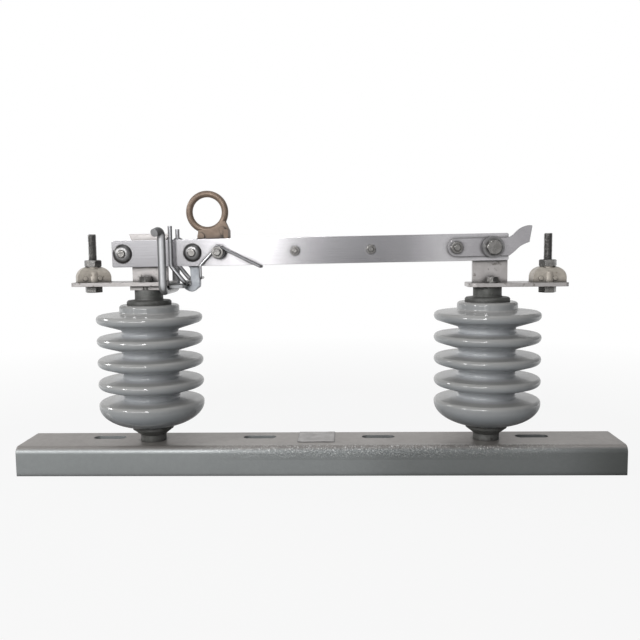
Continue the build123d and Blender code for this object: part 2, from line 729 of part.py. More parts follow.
add_part("jaw_pad", pad(-1, jaw_x, jaw_pad_base, jaw_pad_inner, jaw_pad_outer, pad_corner,
                        0, jaw_stud_offset))
add_part("hinge_pad", pad(1, hinge_x, hinge_pad_base, hinge_pad_inner, hinge_pad_outer, hinge_pad_corner,
                          hinge_bolt_shift, hinge_stud_offset))
for end, stud_x, bolt_x, top, turn in (
        ("jaw", jaw_x - jaw_stud_offset, jaw_x, jaw_pad_top, jaw_clamp_turn),
        ("hinge", hinge_x + hinge_stud_offset, hinge_x + hinge_bolt_shift, hinge_pad_top, 0)):
    at_stud = Pos(stud_x, 0, 0)
    add_part(f"{end}_pad_bolts", pad_bolts(bolt_x, top))
    add_part(f"{end}_clamp", at_stud * Pos(0, 0, top) * Rot(0, 0, turn) * clamp_body())
    add_part(f"{end}_terminal_stud", at_stud * terminal_stud(top))
    add_part(f"{end}_terminal_nut", at_stud * terminal_nut(top))

add_part("jaw_tongue", jaw_tongue())
add_part("hinge_tongue", hinge_tongue())
add_part("hook_plate", hook_plate())
add_part("keeper_fork", keeper_fork())
add_part("attachment_hook", attachment_hook())
add_part("keeper_bail", keeper_bail())

add_part("blade_bar_front", blade_bar(-bar_outer))
add_part("blade_bar_back", blade_bar(bar_inner))
add_part("blade_spacers", Compound(children=[spacer(at, spacer_bolt_radius) for at in spacer_bolts_at]
                                   + [spacer(spring_bolt_at, spring_bolt_radius),
                                      spacer(strap_bolt_at, strap_bolt_radius)]))
add_part("blade_spacer_bolts", Compound(children=[
    through_bolt(at, spacer_bolt_radius, -bar_outer, bar_outer, m6_flats, m6_height)
    for at in spacer_bolts_at]))
add_part("contact_cups", cup_pair(contact_bolt_at, contact_cup_radius, contact_bolt_radius))
add_part("contact_bolt", cup_rivet(contact_bolt_at, contact_bolt_radius))
add_part("latch_pivot_cups", cup_pair(latch_pivot_at, latch_cup_radius, latch_pivot_radius))
add_part("latch_pivot_bolt", cup_rivet(latch_pivot_at, latch_pivot_radius))
spring_seat = bar_outer + spring_depth + 2 * spring_wire_radius + 3 * spring_gap
add_part("spring_bolt", through_bolt(spring_bolt_at, spring_bolt_radius, -spring_seat, bar_outer,
                                     m8_flats, m8_height))
add_part("stop_strap", stop_strap())
add_part("strap_bolt", through_bolt(strap_bolt_at, strap_bolt_radius, -bar_outer - strap_thickness, bar_outer,
                                    m8_flats, m8_height))

add_part("pivot_bolt", pivot_bolt())
add_part("pivot_nut", pivot_nut())
add_part("pivot_washers", Compound(children=[pivot_washers(True), pivot_washers(False)]))

add_part("pull_ring", pull_ring())
add_part("latch_hook", latch_hook())
add_part("latch_spring", latch_spring())
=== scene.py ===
import json
from math import cos, pi, radians, sin

import bmesh
import bpy
from mathutils import Matrix, Vector, noise


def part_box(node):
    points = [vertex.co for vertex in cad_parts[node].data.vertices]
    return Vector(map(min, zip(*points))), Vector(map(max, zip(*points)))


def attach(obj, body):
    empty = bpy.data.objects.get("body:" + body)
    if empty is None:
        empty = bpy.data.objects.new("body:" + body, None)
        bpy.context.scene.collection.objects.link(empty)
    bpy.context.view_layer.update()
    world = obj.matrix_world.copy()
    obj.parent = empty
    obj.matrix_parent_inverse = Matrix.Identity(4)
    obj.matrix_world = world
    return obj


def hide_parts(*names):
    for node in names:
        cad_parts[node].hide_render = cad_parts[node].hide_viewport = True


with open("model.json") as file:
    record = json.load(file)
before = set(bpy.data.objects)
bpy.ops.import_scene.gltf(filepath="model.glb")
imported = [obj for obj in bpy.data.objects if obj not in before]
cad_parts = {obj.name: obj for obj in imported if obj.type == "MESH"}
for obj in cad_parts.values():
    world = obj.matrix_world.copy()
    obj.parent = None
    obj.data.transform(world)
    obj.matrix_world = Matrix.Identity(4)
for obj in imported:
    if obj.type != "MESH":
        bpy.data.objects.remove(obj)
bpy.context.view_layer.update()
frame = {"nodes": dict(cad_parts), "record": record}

scene = bpy.context.scene
scene.view_settings.view_transform = "Standard"

# Camera, lamps and stage. Metres, watts, and degrees where a line says so

cameraSetup = {
    "place": (0.0340, -0.91168, 0.27413),
    "pitch": 5.853,                      # degrees down
    "yaw": 1.929,                        # degrees to the left
    "roll": -0.682,                      # degrees
    "lens": 42.86,                       # millimetres
    "sensor": 36.0,                      # millimetres
    "near": 0.01,
}

lampSetup = {
    "window": {"place": (-0.265, -1.46, 0.27), "aim": (-0.08, 0.0, 0.26), "size": (0.22, 0.5), "power": 0.46},
    "panel": {"place": (0.7, -1.45, 0.28), "aim": (0.15, 0.0, 0.26), "size": (0.9, 0.6), "power": 0.85},
    "soft": {"place": (-0.7, -1.7, 0.72), "aim": (-0.1, 0.0, 0.15), "size": (1.1, 0.4), "power": 9.5},
    "lampLeft": {"place": (-1.5, 0.3, 0.85), "aim": (0.0, 0.0, 0.15), "size": (0.28, 0.3), "power": 6.5},
    "lampSide": {"place": (-1.35, -1.0, 0.8), "aim": (0.0, 0.0, 0.15), "size": (0.28, 0.3), "power": 7.0},
    "lampFront": {"place": (-0.2, -1.6, 0.95), "aim": (0.0, 0.0, 0.15), "size": (0.2, 0.2), "power": 6.5},
    "top": {"place": (0.1, 0.15, 1.7), "aim": (0.0, 0.0, 0.1), "size": (1.6, 0.9), "power": 4.5},
}

worldSetup = {
    "light": (0.29, 0.298, 0.307), "dark": (0.08, 0.08, 0.084), "bright": (0.78, 0.785, 0.8),
    "darkSide": (0.74, -0.66, -0.12),    # the unlit corner of the room
    "darkRange": (0.4, 1.0),
    "brightSide": (-0.6, -0.79, 0.1),    # the windows on the left
    "brightRange": (0.7, 0.98),
    "backRange": (0.55, 0.97),           # where reflections see the white backdrop
}

floorSetup = {
    "size": 14.0, "colour": (0.36, 0.36, 0.355), "drop": 0.0004,
    "glow": 0.9, "glowRange": (0.5, 1.3),
    "backRange": (0.0, 0.4),             # where reflections see the white floor
}


def connect(tree, socket, value):
    # Links a socket to another, or fills it. Colours get their alpha
    if isinstance(value, bpy.types.NodeSocket):
        tree.links.new(value, socket)
    elif socket.type == "RGBA":
        socket.default_value = (*value, 1)
    else:
        socket.default_value = value


def place(tree, kind, values=None, **settings):
    # Adds a node and sets its options before its sockets
    node = tree.nodes.new(kind)
    for key, value in settings.items():
        setattr(node, key, value)
    for key, value in (values or {}).items():
        connect(tree, node.inputs[key], value)
    return node


def maths(tree, operation, first, second=None, clamp=False):
    values = {0: first}
    if second is not None:
        values[1] = second
    return place(tree, "ShaderNodeMath", values, operation=operation, use_clamp=clamp).outputs[0]


def product(tree, first, *others):
    for other in others:
        first = maths(tree, "MULTIPLY", first, other)
    return first


def ramp(tree, value, start=0.0, end=1.0, low=0.0, high=1.0, smooth=False):
    # Takes start...end to low...high, and holds both ends
    kind = "SMOOTHSTEP" if smooth else "LINEAR"
    values = {"Value": value, "From Min": start, "From Max": end, "To Min": low, "To Max": high}
    return place(tree, "ShaderNodeMapRange", values, interpolation_type=kind).outputs[0]


def mixColour(tree, share, first, second):
    return place(tree, "ShaderNodeMix", {0: share, 6: first, 7: second}, data_type="RGBA").outputs[2]


def split(tree, vector):
    return place(tree, "ShaderNodeSeparateXYZ", {0: vector}).outputs


def surfaceNormal(tree):
    return place(tree, "ShaderNodeNewGeometry").outputs["Normal"]


def seenShare(tree, depth, backRange):
    # 1 for the camera's own rays. Reflections see it too, but only in what lies behind the object
    path = place(tree, "ShaderNodeLightPath").outputs
    reflected = maths(tree, "ADD", path["Is Glossy Ray"], path["Is Transmission Ray"])
    reflected = product(tree, reflected, ramp(tree, depth, *backRange))
    return maths(tree, "ADD", path["Is Camera Ray"], reflected, clamp=True)


def makeCamera(setup):
    data = bpy.data.cameras.new("photoCamera")
    data.lens = setup["lens"]
    data.sensor_width = setup["sensor"]
    data.sensor_fit = "HORIZONTAL"
    data.clip_start = setup["near"]
    camera = bpy.data.objects.new("photoCamera", data)
    turn = (Matrix.Rotation(radians(setup["yaw"]), 4, "Z") @ Matrix.Rotation(radians(-setup["pitch"]), 4, "X")
            @ Matrix.Rotation(radians(-setup["roll"]), 4, "Y") @ Matrix.Rotation(radians(90), 4, "X"))
    camera.matrix_world = Matrix.Translation(setup["place"]) @ turn
    scene.collection.objects.link(camera)
    scene.camera = camera


def makeLamp(name, setup):
    data = bpy.data.lights.new(name, "AREA")
    data.shape = "RECTANGLE"
    data.size, data.size_y = setup["size"]
    data.energy = setup["power"]
    lamp = bpy.data.objects.new(name, data)
    lamp.location = Vector(setup["place"])
    lamp.rotation_euler = (Vector(setup["aim"]) - lamp.location).to_track_quat("-Z", "Y").to_euler()
    scene.collection.objects.link(lamp)


def makeWorld(setup):
    # A room that is light on the left and dark at the front right, with a white backdrop behind
    world = bpy.data.worlds.new("room")
    scene.world = world
    world.use_nodes = True
    tree = world.node_tree
    tree.nodes.clear()
    way = place(tree, "ShaderNodeTexCoord").outputs["Generated"]

    def facing(side, reach):
        dot = place(tree, "ShaderNodeVectorMath", {0: way, 1: setup[side]}, operation="DOT_PRODUCT")
        return ramp(tree, dot.outputs["Value"], *setup[reach], smooth=True)

    walls = mixColour(tree, facing("darkSide", "darkRange"), setup["light"], setup["dark"])
    walls = mixColour(tree, facing("brightSide", "brightRange"), walls, setup["bright"])
    room = place(tree, "ShaderNodeBackground", {"Color": walls})
    white = place(tree, "ShaderNodeBackground", {"Color": (1, 1, 1)})
    share = seenShare(tree, split(tree, way)["Y"], setup["backRange"])
    mix = place(tree, "ShaderNodeMixShader", {0: share, 1: room.outputs[0], 2: white.outputs[0]})
    place(tree, "ShaderNodeOutputWorld", {"Surface": mix.outputs[0]})


def makeFloor(setup):
    # Matt near the object, where its shadow falls, and plain white further out
    mesh = bpy.data.meshes.new("floor")
    bm = bmesh.new()
    bmesh.ops.create_grid(bm, x_segments=1, y_segments=1, size=setup["size"] / 2)
    bmesh.ops.translate(bm, verts=bm.verts, vec=(0, 0, -setup["drop"]))
    bm.to_mesh(mesh)
    bm.free()
    floor = bpy.data.objects.new("floor", mesh)
    scene.collection.objects.link(floor)
    paint = bpy.data.materials.new("floorPaint")
    paint.use_nodes = True
    tree = paint.node_tree
    tree.nodes.clear()
    matt = place(tree, "ShaderNodeBsdfDiffuse", {"Color": setup["colour"]})
    glow = place(tree, "ShaderNodeEmission", {"Color": (1, 1, 1)})
    point = place(tree, "ShaderNodeTexCoord").outputs["Object"]
    reach = place(tree, "ShaderNodeVectorMath", {0: point}, operation="LENGTH").outputs["Value"]
    share = ramp(tree, reach, *setup["glowRange"], low=setup["glow"])
    share = product(tree, share, seenShare(tree, split(tree, point)["Y"], setup["backRange"]))
    mix = place(tree, "ShaderNodeMixShader", {0: share, 1: matt.outputs[0], 2: glow.outputs[0]})
    place(tree, "ShaderNodeOutputMaterial", {"Surface": mix.outputs[0]})
    mesh.materials.append(paint)


makeCamera(cameraSetup)
for lampName, lampValues in lampSetup.items():
    makeLamp(lampName, lampValues)
makeWorld(worldSetup)
makeFloor(floorSetup)
print("camera, lamps and floor are set")

# Node groups that the finishes share. Each noise has its detail, roughness and distortion

grainSetup = {
    "fine": (4.0, 0.65), "broad": (3.0, 0.6),
    "broadScale": 0.18, "fineShare": 0.45, "broadShare": 0.55,
}
blotchSetup = {"cloud": (6.0, 0.62, 0.3), "bareLevel": 0.78, "coverDrop": 0.56}
skinSetup = {"fine": (5.0, 0.6), "lumps": (2.0, 0.5, 0.6), "lumpScale": 0.28}
dustSetup = {"cloud": (5.0, 0.7), "upRange": (0.25, 0.95), "patchRange": (0.3, 0.7)}
aoShadeSetup = {"shutRange": (0.92, 0.45), "samples": 6}
edgeSetup = {"bentRange": (0.995, 0.86), "samples": 4}


def startGroup(name, inputs, outputs):
    group = bpy.data.node_groups.new(name, "ShaderNodeTree")
    for label, kind, value in inputs:
        socket = group.interface.new_socket(name=label, in_out="INPUT", socket_type=kind)
        if value is not None:
            socket.default_value = value
    for label, kind in outputs:
        group.interface.new_socket(name=label, in_out="OUTPUT", socket_type=kind)
    return group, group.nodes.new("NodeGroupInput").outputs, group.nodes.new("NodeGroupOutput").inputs


def cloudNoise(tree, point, scale, detail, roughness, distortion=0.0):
    values = {"Vector": point, "Scale": scale, "Detail": detail, "Roughness": roughness,
              "Distortion": distortion}
    return place(tree, "ShaderNodeTexNoise", values).outputs["Fac"]


def makeGrainGroup(setup):
    # Fine drawn lines: noise stretched along X
    group, given, out = startGroup(
        "drawnGrain",
        [("Vector", "NodeSocketVector", None), ("Scale", "NodeSocketFloat", 900.0),
         ("Stretch", "NodeSocketFloat", 0.02)],
        [("Height", "NodeSocketFloat"), ("Shade", "NodeSocketFloat")])
    squeeze = place(group, "ShaderNodeCombineXYZ", {"X": given["Stretch"], "Y": 1.0, "Z": 1.0})
    point = place(group, "ShaderNodeVectorMath", {0: given["Vector"], 1: squeeze.outputs[0]},
                  operation="MULTIPLY").outputs[0]
    fine = cloudNoise(group, point, given["Scale"], *setup["fine"])
    broad = cloudNoise(group, point, product(group, given["Scale"], setup["broadScale"]), *setup["broad"])
    shade = maths(group, "ADD", product(group, fine, setup["fineShare"]),
                  product(group, broad, setup["broadShare"]))
    group.links.new(fine, out["Height"])
    group.links.new(shade, out["Shade"])
    return group


def makeBlotchGroup(setup):
    # Soft-edged patches that cover a share of the surface
    group, given, out = startGroup(
        "blotches",
        [("Vector", "NodeSocketVector", None), ("Scale", "NodeSocketFloat", 30.0),
         ("Cover", "NodeSocketFloat", 0.4), ("Soft", "NodeSocketFloat", 0.12)],
        [("Mask", "NodeSocketFloat")])
    cloud = cloudNoise(group, given["Vector"], given["Scale"], *setup["cloud"])
    level = maths(group, "SUBTRACT", setup["bareLevel"], product(group, given["Cover"], setup["coverDrop"]))
    mask = ramp(group, cloud, maths(group, "SUBTRACT", level, given["Soft"]),
                maths(group, "ADD", level, given["Soft"]), smooth=True)
    group.links.new(mask, out["Mask"])
    return group


def makeSkinGroup(setup):
    # The uneven skin of a casting or a hot-dipped zinc coat
    group, given, out = startGroup(
        "roughSkin",
        [("Vector", "NodeSocketVector", None), ("Scale", "NodeSocketFloat", 400.0),
         ("Lumps", "NodeSocketFloat", 0.5)],
        [("Height", "NodeSocketFloat")])
    fine = cloudNoise(group, given["Vector"], given["Scale"], *setup["fine"])
    coarse = product(group, given["Scale"], setup["lumpScale"])
    lumps = cloudNoise(group, given["Vector"], coarse, *setup["lumps"])
    mix = place(group, "ShaderNodeMix", {0: given["Lumps"], 2: fine, 3: lumps}, data_type="FLOAT")
    group.links.new(mix.outputs[0], out["Height"])
    return group


def makeDustGroup(setup):
    # Dust that settles on what faces up
    group, given, out = startGroup(
        "dust",
        [("Vector", "NodeSocketVector", None), ("Scale", "NodeSocketFloat", 60.0),
         ("Amount", "NodeSocketFloat", 0.5)],
        [("Mask", "NodeSocketFloat")])
    upward = ramp(group, split(group, surfaceNormal(group))["Z"], *setup["upRange"])
    cloud = cloudNoise(group, given["Vector"], given["Scale"], *setup["cloud"])
    patch = ramp(group, cloud, *setup["patchRange"])
    mask = maths(group, "MULTIPLY", product(group, upward, patch), given["Amount"], clamp=True)
    group.links.new(mask, out["Mask"])
    return group


def makeAoShadeGroup(setup):
    # Painted shade: darkens the colour in corners and under heads, where little light gets in
    group, given, out = startGroup(
        "aoShade",
        [("Reach", "NodeSocketFloat", 0.005), ("Amount", "NodeSocketFloat", 0.6)],
        [("Mask", "NodeSocketFloat")])
    openness = place(group, "ShaderNodeAmbientOcclusion", {"Distance": given["Reach"]},
                     samples=setup["samples"]).outputs["AO"]
    shut = ramp(group, openness, *setup["shutRange"], smooth=True)
    group.links.new(maths(group, "MULTIPLY", shut, given["Amount"], clamp=True), out["Mask"])
    return group


def makeEdgeGroup(setup):
    # Softens sharp edges and gives a mask along them, for edge wear and for painted shade and highlight along
    # the edges
    group, given, out = startGroup(
        "edges",
        [("Radius", "NodeSocketFloat", 0.0006)],
        [("Normal", "NodeSocketVector"), ("Mask", "NodeSocketFloat")])
    soft = place(group, "ShaderNodeBevel", {"Radius": given["Radius"]}, samples=setup["samples"]).outputs[0]
    same = place(group, "ShaderNodeVectorMath", {0: soft, 1: surfaceNormal(group)}, operation="DOT_PRODUCT")
    group.links.new(soft, out["Normal"])
    group.links.new(ramp(group, same.outputs["Value"], *setup["bentRange"], smooth=True), out["Mask"])
    return group


groups = {
    "grain": makeGrainGroup(grainSetup),
    "blotches": makeBlotchGroup(blotchSetup),
    "skin": makeSkinGroup(skinSetup),
    "dust": makeDustGroup(dustSetup),
    "aoShade": makeAoShadeGroup(aoShadeSetup),
    "edges": makeEdgeGroup(edgeSetup),
}


def useGroup(tree, name, values):
    return place(tree, "ShaderNodeGroup", values, node_tree=groups[name]).outputs


def blotchMask(tree, point, scale, cover, soft):
    return useGroup(tree, "blotches", {"Vector": point, "Scale": scale, "Cover": cover, "Soft": soft})["Mask"]


def addBump(tree, distance, height, normal=None):
    values = {"Strength": 1.0, "Distance": distance, "Height": height}
    if normal is not None:
        values["Normal"] = normal
    return place(tree, "ShaderNodeBump", values).outputs[0]


def glancing(tree):
    # 0 where a surface faces the viewer, 1 at its outline
    return place(tree, "ShaderNodeLayerWeight", {"Blend": 0.5}).outputs["Facing"]


def startMaterial(name):
    material = bpy.data.materials.new(name)
    material.use_nodes = True
    tree = material.node_tree
    point = place(tree, "ShaderNodeTexCoord").outputs["Object"]
    return material, tree, tree.nodes["Principled BSDF"].inputs, point


# Finishes. Colours are linear, sizes of bumps and edges are in metres, scales are per metre

# Where a finish gives a rim share, its colour darkens toward the outline: painted shade
metalFinishes = {
    # Each finish's edge colour is mixed in along its edges: partly edge wear, partly painted light, a dark
    # edge colour being painted shade and a light one a painted highlight
    "galvanised_steel": {
        "colour": (0.42, 0.42, 0.425), "second": (0.30, 0.305, 0.31), "stain": (0.13, 0.125, 0.115),
        "metal": 0.85, "rough": (0.32, 0.5), "patch": 40.0, "cover": 0.5, "stains": 0.12,
        "skin": 420.0, "lumps": 0.6, "bump": 0.0003, "grain": 0.0, "dust": 0.15,
        "edge": (0.5, 0.5, 0.5), "edgeWearAndShade": 0.4, "grime": 0.7,
    },
    "dipped_rod": {
        "colour": (0.80, 0.803, 0.815), "second": (0.62, 0.623, 0.635), "stain": (0.26, 0.255, 0.245),
        "metal": 0.45, "rough": (0.16, 0.28), "patch": 60.0, "cover": 0.4, "stains": 0.12,
        "skin": 260.0, "lumps": 0.8, "bump": 0.0002, "grain": 0.0, "dust": 0.05,
        "edge": (0.5, 0.5, 0.5), "edgeWearAndShade": 0.3, "grime": 0.8, "rim": 0.8,
    },
    "cast_hook": {
        "colour": (0.47, 0.49, 0.52), "second": (0.34, 0.36, 0.39), "stain": (0.18, 0.18, 0.18),
        "metal": 0.45, "rough": (0.34, 0.5), "patch": 120.0, "cover": 0.4, "stains": 0.1,
        "skin": 500.0, "lumps": 0.5, "bump": 0.0009, "grain": 0.0, "dust": 0.0,
        "edge": (0.72, 0.74, 0.77), "edgeWearAndShade": 0.6, "grime": 0.85,
    },
    "cast_iron": {
        "colour": (0.16, 0.16, 0.155), "second": (0.095, 0.098, 0.09), "stain": (0.04, 0.039, 0.035),
        "metal": 0.5, "rough": (0.42, 0.62), "patch": 70.0, "cover": 0.5, "stains": 0.22,
        "skin": 480.0, "lumps": 0.45, "bump": 0.0006, "grain": 0.0, "dust": 0.12,
        "edge": (0.22, 0.22, 0.21), "edgeWearAndShade": 0.5, "grime": 0.8,
    },
    "tinned_copper": {
        "colour": (0.80, 0.785, 0.80), "second": (0.70, 0.68, 0.70), "stain": (0.44, 0.41, 0.42),
        "metal": 0.95, "rough": (0.13, 0.19), "patch": 14.0, "cover": 0.45, "stains": 0.04,
        "skin": 600.0, "lumps": 0.6, "bump": 0.00002, "grain": 0.00003, "dust": 0.0,
        "edge": (0.16, 0.155, 0.16), "edgeWearAndShade": 0.9, "grime": 0.85,
    },
    "strap_tin": {
        "colour": (0.62, 0.605, 0.62), "second": (0.50, 0.485, 0.50), "stain": (0.30, 0.28, 0.28),
        "metal": 0.9, "rough": (0.17, 0.26), "patch": 22.0, "cover": 0.5, "stains": 0.08,
        "skin": 600.0, "lumps": 0.6, "bump": 0.00004, "grain": 0.00003, "dust": 0.0,
        "edge": (0.12, 0.115, 0.12), "edgeWearAndShade": 0.9, "grime": 0.9,
    },
    "tinned_plate": {
        "colour": (0.57, 0.545, 0.535), "second": (0.43, 0.405, 0.395), "stain": (0.17, 0.15, 0.135),
        "metal": 0.45, "rough": (0.28, 0.44), "patch": 75.0, "cover": 0.5, "stains": 0.26,
        "skin": 420.0, "lumps": 0.5, "bump": 0.0004, "grain": 0.00003, "dust": 0.1,
        "edge": (0.16, 0.15, 0.14), "edgeWearAndShade": 0.85, "grime": 0.9,
    },
    "bronze": {
        "colour": (0.25, 0.185, 0.14), "second": (0.165, 0.12, 0.09), "stain": (0.08, 0.058, 0.042),
        "metal": 0.4, "rough": (0.4, 0.6), "patch": 55.0, "cover": 0.5, "stains": 0.15,
        "skin": 700.0, "lumps": 0.4, "bump": 0.00035, "grain": 0.0, "dust": 0.1,
        "edge": (0.40, 0.31, 0.245), "edgeWearAndShade": 0.7, "grime": 0.95,
    },
    "zinc": {
        "colour": (0.76, 0.76, 0.78), "second": (0.58, 0.58, 0.60), "stain": (0.22, 0.21, 0.20),
        "metal": 0.7, "rough": (0.14, 0.28), "patch": 90.0, "cover": 0.4, "stains": 0.08,
        "skin": 900.0, "lumps": 0.4, "bump": 0.00005, "grain": 0.0, "dust": 0.0,
        "edge": (0.25, 0.25, 0.25), "edgeWearAndShade": 0.5, "grime": 0.95, "rim": 0.9,
    },
    "cup_steel": {
        "colour": (0.40, 0.395, 0.395), "second": (0.25, 0.245, 0.245), "stain": (0.12, 0.11, 0.10),
        "metal": 0.9, "rough": (0.28, 0.4), "patch": 110.0, "cover": 0.5, "stains": 0.14,
        "skin": 420.0, "lumps": 0.5, "bump": 0.00025, "grain": 0.0, "dust": 0.0,
        "edge": (0.08, 0.08, 0.08), "edgeWearAndShade": 0.7, "grime": 0.95, "rim": 0.8,
    },
    "steel_fastener": {
        "colour": (0.37, 0.36, 0.345), "second": (0.24, 0.23, 0.22), "stain": (0.10, 0.085, 0.07),
        "metal": 0.95, "rough": (0.18, 0.34), "patch": 150.0, "cover": 0.5, "stains": 0.2,
        "skin": 700.0, "lumps": 0.4, "bump": 0.00025, "grain": 0.0, "dust": 0.0,
        "edge": (0.62, 0.61, 0.59), "edgeWearAndShade": 0.4, "grime": 0.95, "rim": 0.35,
    },
    "clamp_metal": {
        "colour": (0.52, 0.475, 0.415), "second": (0.37, 0.335, 0.29), "stain": (0.15, 0.125, 0.1),
        "metal": 0.35, "rough": (0.34, 0.5), "patch": 95.0, "cover": 0.5, "stains": 0.24,
        "skin": 520.0, "lumps": 0.5, "bump": 0.0006, "grain": 0.0, "dust": 0.0,
        "edge": (0.72, 0.68, 0.62), "edgeWearAndShade": 0.5, "grime": 0.95,
    },
    "label_foil": {
        "colour": (0.36, 0.347, 0.338), "second": (0.27, 0.258, 0.25), "stain": (0.16, 0.152, 0.145),
        "metal": 0.7, "rough": (0.3, 0.42), "patch": 60.0, "cover": 0.4, "stains": 0.08,
        "skin": 300.0, "lumps": 0.7, "bump": 0.0001, "grain": 0.0, "dust": 0.1,
        "edge": (0.4, 0.4, 0.4), "edgeWearAndShade": 0.4, "grime": 0.7,
    },
}

# What all the metal finishes have in common
wearAndShade = {
    "patchSoft": 0.22, "stainScale": 2.3, "stainSoft": 0.05,
    "grainScale": 900.0, "grainStretch": 0.015, "grainRange": (0.3, 0.7), "grainShare": 0.4,
    "edgeRadius": 0.0007, "dustScale": 90.0, "dust": (0.34, 0.32, 0.29),
    # painted shade in corners and under heads: its reach and colour
    "grimeReach": 0.0075, "grime": (0.035, 0.033, 0.03),
    # painted shade at the outline: where it starts and its colour
    "rimRange": (0.03, 0.32), "rim": (0.06, 0.058, 0.056),
    "soiledAndShadedRough": 0.2, "soiledAndShadedMetal": 0.3,
}


def metalMaterial(name, look):
    material, tree, shader, point = startMaterial(name)
    patches = blotchMask(tree, point, look["patch"], look["cover"], wearAndShade["patchSoft"])
    colour = mixColour(tree, patches, look["colour"], look["second"])
    stains = blotchMask(tree, point, look["patch"] * wearAndShade["stainScale"], look["stains"], wearAndShade["stainSoft"])
    colour = mixColour(tree, stains, colour, look["stain"])
    if look["grain"]:
        grain = useGroup(tree, "grain", {"Vector": point, "Scale": wearAndShade["grainScale"],
                                         "Stretch": wearAndShade["grainStretch"]})
        shade = ramp(tree, grain["Shade"], *wearAndShade["grainRange"], high=wearAndShade["grainShare"])
        colour = mixColour(tree, shade, colour, look["second"])
    # partly wear, partly painted light: the edges take the finish's edge colour, dark ones as painted shade,
    # light ones as painted highlight
    edges = useGroup(tree, "edges", {"Radius": wearAndShade["edgeRadius"]})
    colour = mixColour(tree, product(tree, edges["Mask"], look["edgeWearAndShade"]), colour, look["edge"])
    dust = useGroup(tree, "dust", {"Vector": point, "Scale": wearAndShade["dustScale"],
                                   "Amount": look["dust"]})["Mask"]
    colour = mixColour(tree, dust, colour, wearAndShade["dust"])
    # painted shade: the colour darkens in corners and under heads
    grime = useGroup(tree, "aoShade", {"Reach": wearAndShade["grimeReach"], "Amount": look["grime"]})["Mask"]
    colour = mixColour(tree, grime, colour, wearAndShade["grime"])
    # painted shade: the colour darkens toward the outline, where the surface turns from the viewer
    if "rim" in look:
        rim = ramp(tree, glancing(tree), *wearAndShade["rimRange"], high=look["rim"], smooth=True)
        colour = mixColour(tree, rim, colour, wearAndShade["rim"])
    # stains, dust and the painted corner shade together make the surface rougher and less metallic
    soiledAndShaded = maths(tree, "MAXIMUM", maths(tree, "MAXIMUM", stains, dust), grime)
    low, high = look["rough"]
    rough = maths(tree, "ADD", ramp(tree, patches, low=low, high=high),
                  product(tree, soiledAndShaded, wearAndShade["soiledAndShadedRough"]), clamp=True)
    skin = useGroup(tree, "skin", {"Vector": point, "Scale": look["skin"], "Lumps": look["lumps"]})["Height"]
    bump = addBump(tree, look["bump"], skin, edges["Normal"])
    if look["grain"]:
        bump = addBump(tree, look["grain"], grain["Height"], bump)
    metal = ramp(tree, soiledAndShaded, low=look["metal"], high=look["metal"] * wearAndShade["soiledAndShadedMetal"])
    tree.links.new(colour, shader["Base Color"])
    tree.links.new(rough, shader["Roughness"])
    tree.links.new(metal, shader["Metallic"])
    tree.links.new(bump, shader["Normal"])
    return material


# The crinkle lies between two places along X, and grows with the height and toward the front
channelLook = {
    "front": (0.36, 0.375, 0.375), "frontSecond": (0.29, 0.305, 0.305),
    # painted light: the top web is lighter than the front
    "top": (0.40, 0.375, 0.355), "topSecond": (0.30, 0.28, 0.265), "topRange": (0.35, 0.9),
    "clouds": (9.0, 0.5, 0.35), "cloudShare": 0.6, "flecks": (160.0, 0.5, 0.3), "fleckShare": 0.4,
    "smears": (55.0, 0.08, 0.05), "smearShare": 0.6, "smear": (0.14, 0.14, 0.13),
    # painted shade: the front darkens from the middle toward the right end
    "midShadeRange": (0.02, 0.12), "midShadeShare": 0.4,
    "endShadeRange": (0.27, 0.365), "endShadeShare": 0.5, "rightEndShade": (0.10, 0.105, 0.10),
    "edgeRadius": 0.001, "edgeWearAndShade": 0.6, "edge": (0.12, 0.12, 0.115),
    # painted shade in the channel's corners: its reach, share and colour
    "grimeReach": 0.006, "grimeShare": 0.75, "grime": (0.04, 0.038, 0.035),
    "skin": 260.0, "lumps": 0.7, "bump": 0.00022, "metal": 0.6, "rough": (0.38, 0.5),
    "crinkle": {
        "from": -0.09, "to": 0.25, "fade": 0.06, "heights": (0.019, 0.031), "depths": (-0.024, -0.032),
        "height": 0.0022, "scale": 480.0, "noise": (4.0, 0.55, 0.8), "peaks": (0.53, 0.66),
        "speckHighlight": (0.8, 0.8, 0.79),
    },
}


